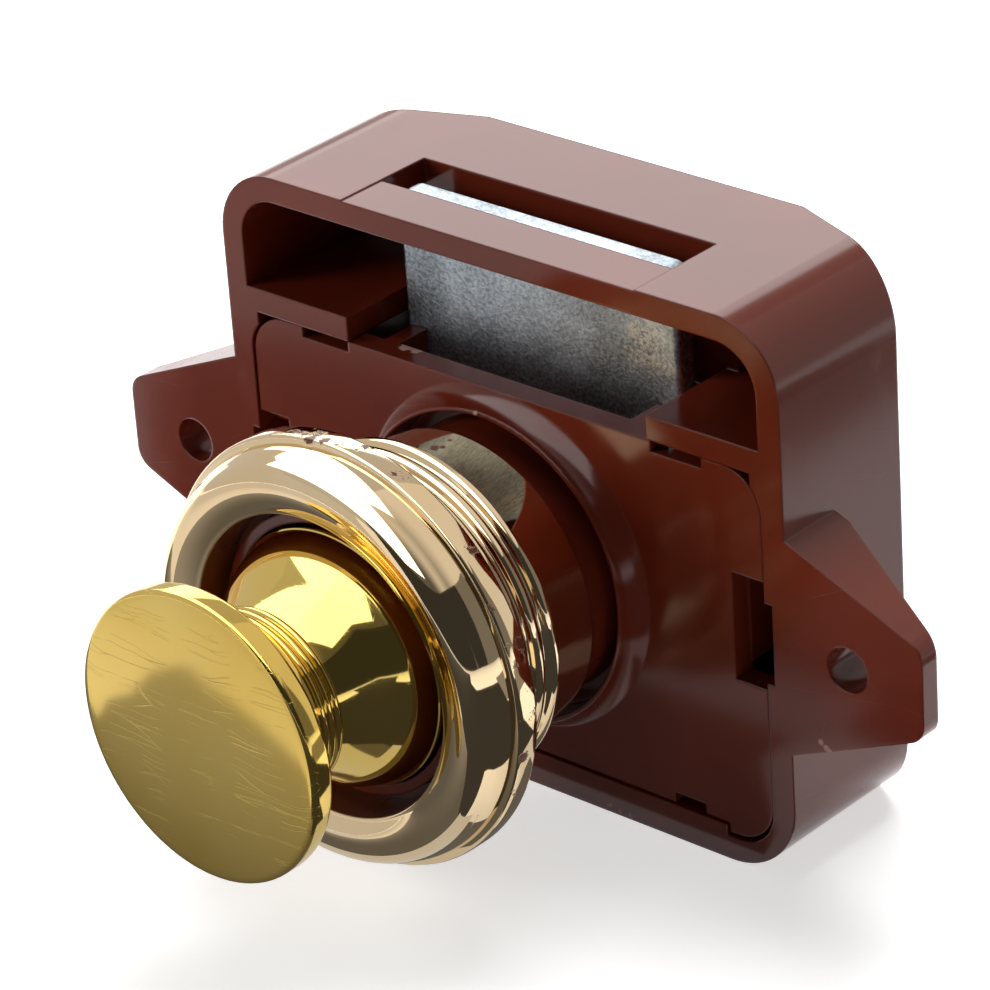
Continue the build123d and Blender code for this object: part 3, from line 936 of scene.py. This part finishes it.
@dataclass
class ReturnSpring:
    """Compression spring round the plunger, coiled from one round wire."""

    front_y: float = -11.95
    back_y: float = -0.30
    mean_radius: float = 8.4
    wire: float = 0.8
    turns: int = 5
    facets: int = 14
    steps: int = 44
    keep: float = 0.28
    crease: float = 40.0

    def build(self, finish: bpy.types.Material) -> bpy.types.Object:
        """Coil and dress the spring.

        One section of wire is screwed along the axis into a coil.

        Args:
            finish: Its material.

        Returns:
            The piece, riding on the case's body.
        """
        bpy.ops.object.select_all(action="DESELECT")
        bpy.ops.mesh.primitive_circle_add(
            vertices=self.facets,
            radius=self.wire / 2 * MM,
            fill_type="NOTHING",
            location=(self.mean_radius * MM, 0.0, 0.0),
        )
        obj = bpy.context.object
        obj.name = "return_spring_coil"
        bpy.ops.object.transform_apply(location=True, rotation=True, scale=True)
        coil = obj.modifiers.new("coil", "SCREW")
        coil.axis = "Y"
        coil.screw_offset = (self.back_y - self.front_y) / self.turns * MM
        coil.iterations = self.turns
        coil.steps = coil.render_steps = self.steps
        coil.use_merge_vertices = True
        bpy.ops.object.modifier_apply(modifier=coil.name)
        bpy.ops.object.mode_set(mode="EDIT")
        bpy.ops.mesh.select_all(action="DESELECT")
        bpy.ops.mesh.select_non_manifold()
        bpy.ops.mesh.edge_face_add()
        bpy.ops.mesh.select_all(action="SELECT")
        bpy.ops.transform.translate(value=(0.0, self.front_y * MM, 0.0))
        bpy.ops.mesh.normals_make_consistent(inside=False)
        bpy.ops.object.mode_set(mode="OBJECT")
        bpy.ops.object.shade_smooth_by_angle(angle=math.radians(self.crease))
        dress(obj, finish)
        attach(obj, Body.CASE.value)
        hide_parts("return_spring")
        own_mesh(obj)
        return obj


@dataclass
class Softbox:
    """A rectangular lamp that shines evenly over its face."""

    name: str
    place: Triple
    target: Triple
    width: float
    height: float
    glow: float
    roll: float = 0.0
    mirrored: bool = True
    lighting: bool = True

    def build(self) -> None:
        """Hang the lamp, rolled about its aim by some degrees and hidden from the camera."""
        lamp = bpy.data.lights.new(self.name, "AREA")
        lamp.shape = "RECTANGLE"
        lamp.size, lamp.size_y = self.width, self.height
        lamp.energy = self.glow * math.pi * self.width * self.height
        obj = bpy.data.objects.new(self.name, lamp)
        bpy.context.scene.collection.objects.link(obj)
        aim = Vector(self.target) - Vector(self.place)
        obj.location = self.place
        obj.rotation_mode = "QUATERNION"
        roll = Matrix.Rotation(math.radians(self.roll), 4, "Z").to_quaternion()
        obj.rotation_quaternion = aim.to_track_quat("-Z", "Y") @ roll
        obj.visible_camera = False
        obj.visible_glossy = self.mirrored
        obj.visible_diffuse = self.lighting


def reflected_sheet(
    name: str, spots: Sequence[Triple], faces: Sequence[tuple[int, ...]]
) -> Bench:
    """Make a sheet that only reflections see.

    Args:
        name: The name of the sheet and of its material.
        spots: Its corners, in metres.
        faces: Its faces, as places in the list of corners.

    Returns:
        The bench of the sheet's material.
    """
    mesh = bpy.data.meshes.new(name)
    mesh.from_pydata(spots, [], faces)
    mesh.update()
    obj = bpy.data.objects.new(name, mesh)
    bpy.context.scene.collection.objects.link(obj)
    material, bench = new_material(name)
    dress(obj, material)
    obj.visible_camera = False
    obj.visible_diffuse = False
    obj.visible_shadow = False
    return bench


def tinted(shade: float, tint: Triple) -> tuple[float, ...]:
    """A grey of some shade, warmed by a tint."""
    return (*(shade * value for value in tint), 1.0)


@dataclass
class TablePatch:
    """A shaded stretch of table or ceiling that only reflections see, fading along Y."""

    name: str
    corners: tuple[Point, ...]
    near_shade: float
    far_shade: float
    near_y: float = 0.0
    far_y: float = -1.0
    height: float = TABLE_TOP
    near_tint: Triple = (1.0, 0.96, 0.92)
    far_tint: Triple = (1.0, 0.98, 0.96)

    def build(self) -> None:
        """Lay the patch."""
        spots = [(x * MM, y * MM, self.height) for x, y in self.corners]
        bench = reflected_sheet(self.name, spots, [tuple(range(len(spots)))])
        _, y, _ = bench.axes(bench.place())
        far = y.rise(self.near_y * MM, self.far_y * MM)
        near_colour = tinted(self.near_shade, self.near_tint)
        far_colour = tinted(self.far_shade, self.far_tint)
        shader = bench.add(
            "ShaderNodeBsdfPrincipled",
            None,
            {
                "Base Color": (0.0, 0.0, 0.0, 1.0),
                "Specular IOR Level": 0.0,
                "Emission Color": bench.blend(far, near_colour, far_colour),
                "Emission Strength": 1.0,
            },
        )
        bench.surface(shader)


@dataclass
class RoomWall:
    """Part of the room round the table, an arc that only reflections see."""

    name: str
    begin: float
    end: float
    shade: float
    low: float = -0.9
    high: float = 39.0
    reach: float = 1.1
    steps: int = 24
    tint: Triple = (1.0, 0.97, 0.93)

    def build(self) -> None:
        """Stand the wall.

        Its ends are turned from straight out of the door (0) towards the right (90),
        and its edges are heights seen from the lock, all in degrees.
        """
        bottom = self.reach * math.tan(math.radians(self.low))
        top = self.reach * math.tan(math.radians(self.high))
        spots: list[Triple] = []
        for k in range(self.steps + 1):
            turn = math.radians(self.begin + (self.end - self.begin) * k / self.steps)
            x, y = self.reach * math.sin(turn), -self.reach * math.cos(turn)
            spots += [(x, y, bottom), (x, y, top)]
        faces = [(2 * k, 2 * k + 1, 2 * k + 3, 2 * k + 2) for k in range(self.steps)]
        bench = reflected_sheet(self.name, spots, faces)
        colour = tinted(self.shade, self.tint)
        bench.surface(
            bench.add("ShaderNodeEmission", None, {"Color": colour, "Strength": 1.0})
        )


SHADE_EDGE: tuple[Point, ...] = (
    (-52.0, -45.0),
    (-30.7, -45.8),
    (-32.4, -49.0),
    (-31.2, -51.5),
    (-32.7, -55.5),
    (-31.8, -58.4),
    (-30.6, -59.2),
    (-27.5, -58.0),
    (-19.0, -56.3),
    (-11.7, -54.1),
    (6.0, -50.0),
)


@dataclass
class Studio:
    """Camera, pale floor, white surroundings, lamps and the room that metal mirrors."""

    camera_place: Triple = (0.20372276, -0.2185088, 0.15771125)
    camera_right: Triple = (0.75048268, 0.65796944, -0.06206411)
    camera_up: Triple = (-0.25958740, 0.37983765, 0.88788386)
    lens: float = 184.623
    sensor: float = 36.0
    clip: tuple[float, float] = (0.01, 20.0)
    floor_z: float = -0.01692
    floor_reach: float = 1.6
    ambient: float = 0.08
    paper: Triple = (0.86, 0.86, 0.86)
    paper_glow: float = 0.62

    lamps: tuple[Softbox, ...] = (
        Softbox(
            "overhead_panel",
            (-0.28, -0.06, 0.60),
            (-0.28, -0.06, 0.0),
            width=1.66,
            height=0.44,
            glow=2.5,
            roll=-33.0,
            lighting=False,
        ),
        Softbox(
            "back_box", (-0.63, 0.62, 0.44), (0.0, 0.0, 0.02), width=0.70, height=0.42, glow=2.0
        ),
        Softbox(
            "top_fill",
            (-0.10, 0.25, 0.60),
            (0.0, 0.0, 0.02),
            width=0.40,
            height=0.40,
            glow=7.5,
            mirrored=False,
        ),
        Softbox(
            "key_left",
            (-0.48, -0.53, 0.26),
            (0.0, 0.0, 0.0),
            width=0.26,
            height=0.26,
            glow=10.0,
            mirrored=False,
        ),
    )
    walls: tuple[RoomWall, ...] = (
        RoomWall("room_left", begin=-128.0, end=-15.0, shade=0.62),
        RoomWall("room_window", begin=-15.0, end=-2.0, shade=1.00, high=32.0),
        RoomWall("room_camera_side", begin=-2.0, end=92.0, shade=0.04, reach=1.12),
        RoomWall("room_right", begin=92.0, end=128.0, shade=0.20),
        RoomWall("room_back", begin=128.0, end=232.0, shade=0.75),
    )
    patches: tuple[TablePatch, ...] = (
        TablePatch(
            "ceiling_left",
            ((-1100.0, -1100.0), (-80.0, -1100.0), (-80.0, 1100.0), (-1100.0, 1100.0)),
            near_shade=0.55,
            far_shade=0.55,
            height=CEILING,
        ),
        TablePatch(
            "ceiling_right",
            ((-80.0, -1100.0), (1100.0, -1100.0), (1100.0, 1100.0), (-80.0, 1100.0)),
            near_shade=0.80,
            far_shade=0.12,
            near_y=150.0,
            far_y=-350.0,
            height=CEILING,
        ),
        TablePatch(
            "table_front_left",
            (
                (20.0, -1.5),
                (-36.0, -1.5),
                (-75.0, -38.0),
                *SHADE_EDGE,
                (16.0, -40.0),
                (14.0, -26.0),
                (12.0, -11.0),
                (19.0, -4.0),
            ),
            near_shade=0.13,
            far_shade=0.38,
            near_y=-27.0,
            far_y=-55.0,
        ),
        TablePatch(
            "table_front_right",
            (
                (120.0, 4.0),
                (25.0, 4.0),
                (24.0, -16.0),
                (12.5, -17.5),
                (14.0, -26.0),
                (16.0, -40.0),
                (6.0, -50.0),
                (-10.0, -120.0),
                (-40.0, -420.0),
                (420.0, -420.0),
                (420.0, -160.0),
                (160.0, -80.0),
                (120.0, -40.0),
            ),
            near_shade=0.05,
            far_shade=0.10,
            near_y=-20.0,
            far_y=-200.0,
        ),
        TablePatch(
            "table_under_ring",
            ((-12.0, -14.6), (14.0, -14.6), (14.0, -21.5), (-12.0, -21.5)),
            near_shade=0.60,
            far_shade=0.60,
            height=TABLE_TOP + 0.05 * MM,
        ),
        TablePatch(
            "table_far_left",
            (
                *SHADE_EDGE,
                (-10.0, -120.0),
                (-40.0, -420.0),
                (-420.0, -420.0),
                (-420.0, -38.0),
                (-75.0, -38.0),
            ),
            near_shade=0.95,
            far_shade=0.70,
            near_y=-46.0,
            far_y=-75.0,
        ),
        TablePatch(
            "table_right",
            ((60.0, 4.0), (150.0, 4.0), (180.0, 150.0), (62.0, 70.0)),
            near_shade=0.30,
            far_shade=0.30,
        ),
    )

    def build(self) -> None:
        """Set the whole stage."""
        self._camera()
        self._floor()
        self._world()
        for lamp in self.lamps:
            lamp.build()
        for part in (*self.walls, *self.patches):
            part.build()
        bpy.context.scene.view_settings.view_transform = "Standard"

    def _camera(self) -> None:
        """Stand the camera at the photograph's viewing angle."""
        data = bpy.data.cameras.new("camera")
        data.lens = self.lens
        data.sensor_width = self.sensor
        data.clip_start, data.clip_end = self.clip
        obj = bpy.data.objects.new("camera", data)
        bpy.context.scene.collection.objects.link(obj)
        right, up = Vector(self.camera_right), Vector(self.camera_up)
        turn = Matrix((right, up, right.cross(up))).transposed().to_4x4()
        obj.matrix_world = Matrix.Translation(self.camera_place) @ turn
        bpy.context.scene.camera = obj

    @staticmethod
    def _seen(bench: Bench) -> Signal:
        """1 for what the camera sees, straight or in a reflection, and 0 for other light."""
        path = bench.add("ShaderNodeLightPath", output="Is Camera Ray")
        outputs = path.socket.node.outputs
        glossy = Signal(bench, outputs["Is Glossy Ray"])
        return (path + glossy + Signal(bench, outputs["Is Transmission Ray"])).least(1.0)

    def _floor(self) -> None:
        """Lay the pale floor, white to the camera but for the object's shadow."""
        bpy.ops.object.select_all(action="DESELECT")
        bpy.ops.mesh.primitive_plane_add(size=2 * self.floor_reach)
        floor = bpy.context.object
        floor.name = "floor"
        floor.data.transform(Matrix.Translation((0.0, 0.0, self.floor_z)))
        material, bench = new_material("floor_paper")
        paper = bench.add(
            "ShaderNodeBsdfDiffuse", None, {"Color": (*self.paper, 1.0), "Roughness": 0.0}
        )
        white = bench.add(
            "ShaderNodeEmission",
            None,
            {"Color": (1.0, 1.0, 1.0, 1.0), "Strength": self.paper_glow},
        )
        seen = self._seen(bench)
        lift = bench.add("ShaderNodeAddShader", None, {0: paper, 1: white})
        shown = bench.add("ShaderNodeMixShader", None, {0: seen, 1: paper, 2: lift})
        bench.surface(shown)
        dress(floor, material)

    def _world(self) -> None:
        """White surroundings for the camera and reflections, a softer fill for the rest."""
        world = bpy.data.worlds.new("surroundings")
        bpy.context.scene.world = world
        world.use_nodes = True
        bench = Bench(world.node_tree)
        level = self._seen(bench) * (1.0 - self.ambient) + self.ambient
        glow = bench.add(
            "ShaderNodeBackground", None, {"Color": (1.0, 1.0, 1.0, 1.0), "Strength": level}
        )
        bench.surface(glow)


@dataclass
class LockBody:
    """The case, its cover and what they hold, kept as their solids and dressed."""

    nodes: dict[str, bpy.types.Object]
    steel: bpy.types.Material

    def build(self) -> Iterable[str]:
        """Dress every solid that stays in view.

        Returns:
            The names of the dressed nodes.
        """
        finishes = {
            "case": MouldedBrown(
                "case_brown",
                (
                    ((26.4, 0.0, -5.4), 0.20),
                    ((26.8, 0.0, -5.7), 0.22),
                    ((27.1, 0.0, -5.9), 0.22),
                    ((8.0, 0.0, -16.4), 0.16),
                    ((8.9, 0.0, -16.6), 0.14),
                    ((9.8, 0.0, -16.6), 0.18),
                ),
            ).build(),
            "cover": MouldedBrown(
                "cover_brown",
                (
                    ((-9.3, 1.75, 12.3), 0.50),
                    ((-8.4, 1.8, 12.3), 0.40),
                    ((-0.25, -1.6, 11.3), 0.16),
                ),
            ).build(),
            "plunger": BlackMoulding().build(),
            "knob_screw": self.steel,
            "cross_pin": self.steel,
            "bolt": ZincMottle().build(),
            "follower": self.steel,
            "leaf_spring": self.steel,
        }
        for name, finish in finishes.items():
            dress(self.nodes[name], finish)
        return finishes.keys()


def main() -> None:
    """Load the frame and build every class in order."""
    logging.basicConfig(level=logging.INFO, format="%(message)s")
    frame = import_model()
    steel = DrawnSteel().build()
    for name in LockBody(frame["nodes"], steel).build():
        LOG.info("dressed %s", name)
    modelled = (
        Escutcheon().build(PaleGilt().build()),
        Knob().build(YellowGilt().build()),
        ReturnSpring().build(steel),
    )
    for piece in modelled:
        LOG.info("modelled %s with %d faces", piece.name, len(piece.data.polygons))
    Studio().build()


if __name__ == "__main__":
    main()
